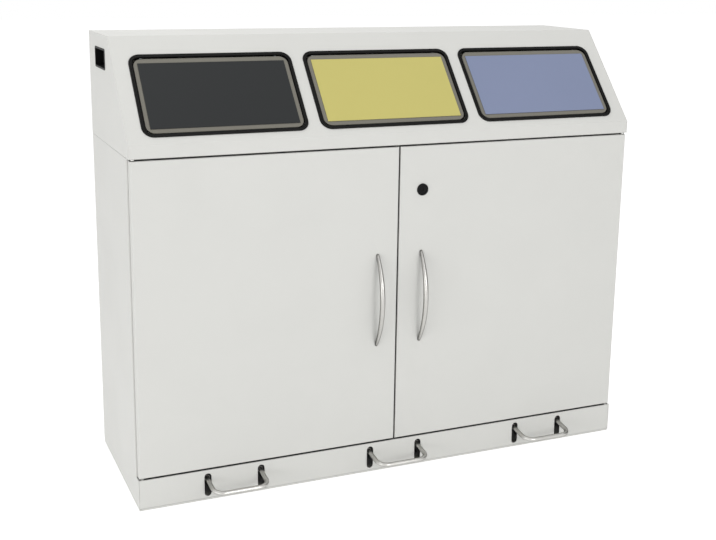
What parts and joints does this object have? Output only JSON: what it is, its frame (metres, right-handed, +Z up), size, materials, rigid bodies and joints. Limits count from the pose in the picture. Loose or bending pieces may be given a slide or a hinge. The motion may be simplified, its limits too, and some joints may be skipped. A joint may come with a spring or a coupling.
{
  "type": "recycling cabinet",
  "caption": "Sheet steel recycling cabinet on a pedal plinth: hinged doors with a cam lock, inner bins, and a sloped hood whose coloured lids the pedals open through pull rods.",
  "frame": {"origin": "on the floor, under the middle of the body", "axes": "+X to the right as seen from the front, +Y to the back, +Z up; the doors face -Y"},
  "size_m": [1.222, 0.4664, 1.015],
  "materials": {
    "powder_coat": "fine matt powder coat",
    "zinc_steel": "zinc plated or galvanised sheet",
    "satin_steel": "satin brushed stainless steel",
    "black_plastic": "matt black moulding",
    "black_rubber": "matt black rubber",
    "lid_metal": "warm grey metallic coat",
    "panel_charcoal": "satin charcoal",
    "panel_yellow": "satin pale yellow",
    "panel_blue": "satin grey blue"
  },
  "bodies": {
    "cabinet": {"side_panel_left": "powder_coat", "side_panel_right": "powder_coat", "back_panel": "powder_coat", "floor_pan": "powder_coat", "plinth_front": "powder_coat", "top_rail": "powder_coat", "hood_shell": "powder_coat", "hood_cheek_left": "powder_coat", "hood_cheek_right": "powder_coat", "hinge_rail": "powder_coat", "lid_hinge_brackets": "zinc_steel", "lid_hinge_pins": "satin_steel", "lid_stops": "black_rubber", "opening_trim_left": "black_rubber", "opening_trim_centre": "black_rubber", "opening_trim_right": "black_rubber", "grip_cup_left": "black_plastic", "grip_cup_right": "black_plastic", "base_frame": "powder_coat", "inner_bin_left": "zinc_steel", "inner_bin_centre": "zinc_steel", "inner_bin_right": "zinc_steel", "bin_handles": "satin_steel", "rod_channels": "zinc_steel", "rod_guides": "black_plastic", "pedal_axle": "zinc_steel", "axle_brackets": "zinc_steel", "door_magnets": "black_plastic", "door_pivot_pins": "satin_steel", "lock_strike": "zinc_steel", "panel_screws": "zinc_steel"},
    "door_left": {"door_panel_left": "powder_coat", "door_stiffener_left": "powder_coat", "door_handle_left": "satin_steel", "handle_screws_left": "zinc_steel", "door_bushes_left": "black_plastic"},
    "door_right": {"door_panel_right": "powder_coat", "door_stiffener_right": "powder_coat", "door_handle_right": "satin_steel", "handle_screws_right": "zinc_steel", "door_bushes_right": "black_plastic", "lock_barrel": "black_plastic", "lock_nut": "zinc_steel"},
    "lock": {"lock_plug": "black_plastic", "lock_cam": "zinc_steel", "cam_screw": "zinc_steel"},
    "lid_left": {"lid_plate_left": "lid_metal", "lid_panel_left": "panel_charcoal"},
    "pedal_arm_left": {"pedal_left": "satin_steel"},
    "rod_left": {"pull_rod_left": "zinc_steel"},
    "lid_centre": {"lid_plate_centre": "lid_metal", "lid_panel_centre": "panel_yellow"},
    "pedal_arm_centre": {"pedal_centre": "satin_steel"},
    "rod_centre": {"pull_rod_centre": "zinc_steel"},
    "lid_right": {"lid_plate_right": "lid_metal", "lid_panel_right": "panel_blue"},
    "pedal_arm_right": {"pedal_right": "satin_steel"},
    "rod_right": {"pull_rod_right": "zinc_steel"}
  },
  "joints": [
    {"name": "left_door_hinge", "type": "hinge", "parent": "cabinet", "child": "door_left", "pos_m": [-0.6005, -0.193, 0.421], "axis": [0, 0, -1], "range_deg": [0, 110]},
    {"name": "right_door_hinge", "type": "hinge", "parent": "cabinet", "child": "door_right", "pos_m": [0.6005, -0.193, 0.421], "axis": [0, 0, 1], "range_deg": [0, 110]},
    {"name": "lock_turn", "type": "hinge", "parent": "door_right", "child": "lock", "pos_m": [0.058, -0.2, 0.6725], "axis": [0, -1, 0], "range_deg": [0, 90]},
    {"name": "left_pedal", "type": "hinge", "parent": "cabinet", "child": "pedal_arm_left", "pos_m": [-0.393, 0.15, 0.05], "axis": [1, 0, 0], "range_deg": [0, 4.45]},
    {"name": "left_rod_slide", "type": "slide", "parent": "cabinet", "child": "rod_left", "axis": [0, 0, -1], "range_m": [0, 0.01501]},
    {"name": "left_lid_hinge", "type": "hinge", "parent": "cabinet", "child": "lid_left", "pos_m": [-0.393, -0.05726, 0.95519], "axis": [-1, 0, 0], "range_deg": [0, 60.05]},
    {"name": "centre_pedal", "type": "hinge", "parent": "cabinet", "child": "pedal_arm_centre", "pos_m": [0, 0.15, 0.05], "axis": [1, 0, 0], "range_deg": [0, 4.45]},
    {"name": "centre_rod_slide", "type": "slide", "parent": "cabinet", "child": "rod_centre", "axis": [0, 0, -1], "range_m": [0, 0.01501]},
    {"name": "centre_lid_hinge", "type": "hinge", "parent": "cabinet", "child": "lid_centre", "pos_m": [0, -0.05726, 0.95519], "axis": [-1, 0, 0], "range_deg": [0, 60.05]},
    {"name": "right_pedal", "type": "hinge", "parent": "cabinet", "child": "pedal_arm_right", "pos_m": [0.393, 0.15, 0.05], "axis": [1, 0, 0], "range_deg": [0, 4.45]},
    {"name": "right_rod_slide", "type": "slide", "parent": "cabinet", "child": "rod_right", "axis": [0, 0, -1], "range_m": [0, 0.01501]},
    {"name": "right_lid_hinge", "type": "hinge", "parent": "cabinet", "child": "lid_right", "pos_m": [0.393, -0.05726, 0.95519], "axis": [-1, 0, 0], "range_deg": [0, 60.05]}
  ],
  "couplings": [
    {"joint": "left_rod_slide", "follows": "left_pedal", "m_per_rad": 0.19309},
    {"joint": "left_lid_hinge", "follows": "left_pedal", "ratio": 13.48},
    {"joint": "centre_rod_slide", "follows": "centre_pedal", "m_per_rad": 0.19309},
    {"joint": "centre_lid_hinge", "follows": "centre_pedal", "ratio": 13.48},
    {"joint": "right_rod_slide", "follows": "right_pedal", "m_per_rad": 0.19309},
    {"joint": "right_lid_hinge", "follows": "right_pedal", "ratio": 13.48}
  ]
}
